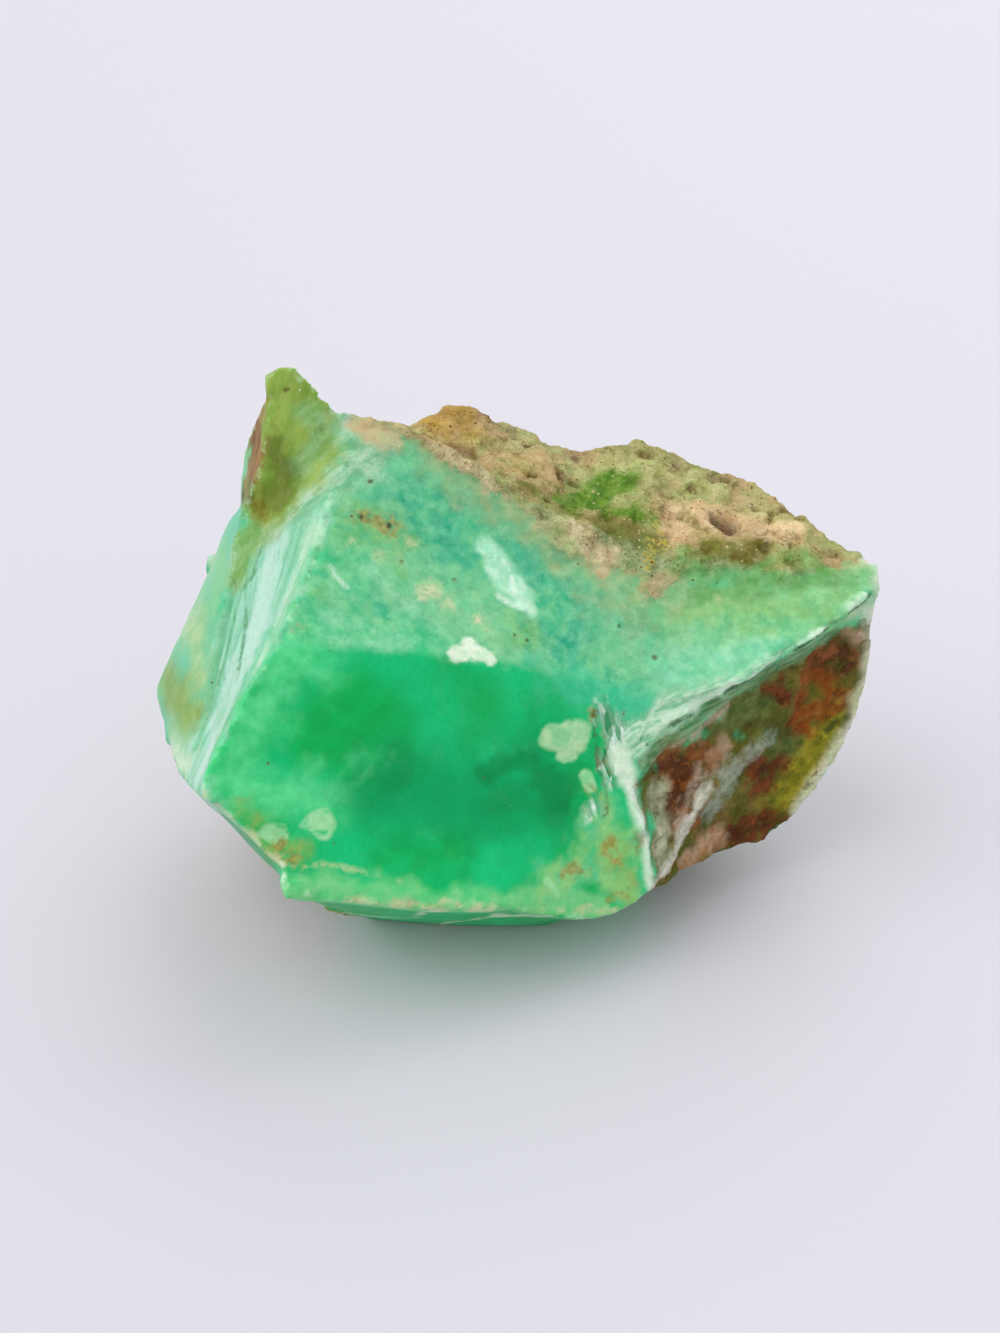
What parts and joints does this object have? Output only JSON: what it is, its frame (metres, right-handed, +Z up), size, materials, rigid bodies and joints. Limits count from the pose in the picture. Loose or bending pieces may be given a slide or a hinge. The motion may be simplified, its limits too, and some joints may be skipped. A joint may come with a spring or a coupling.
{
  "type": "rough chrysoprase stone",
  "caption": "Rough lump of green chalcedony with broken faces, a pointed horn and a weathered sandy skin, resting on a flat patch.",
  "frame": {"origin": "under the middle of the stone's box, on the flat patch that it rests on", "axes": "+Z up, +X to the right along the length of the broken front, +Y away from the front"},
  "size_m": [0.0442, 0.033, 0.0331],
  "materials": {
    "chrysoprase": "waxy, slightly translucent broken faces with a rough sandy skin"
  },
  "bodies": {
    "root": {"rough_stone": "chrysoprase"}
  },
  "joints": []
}
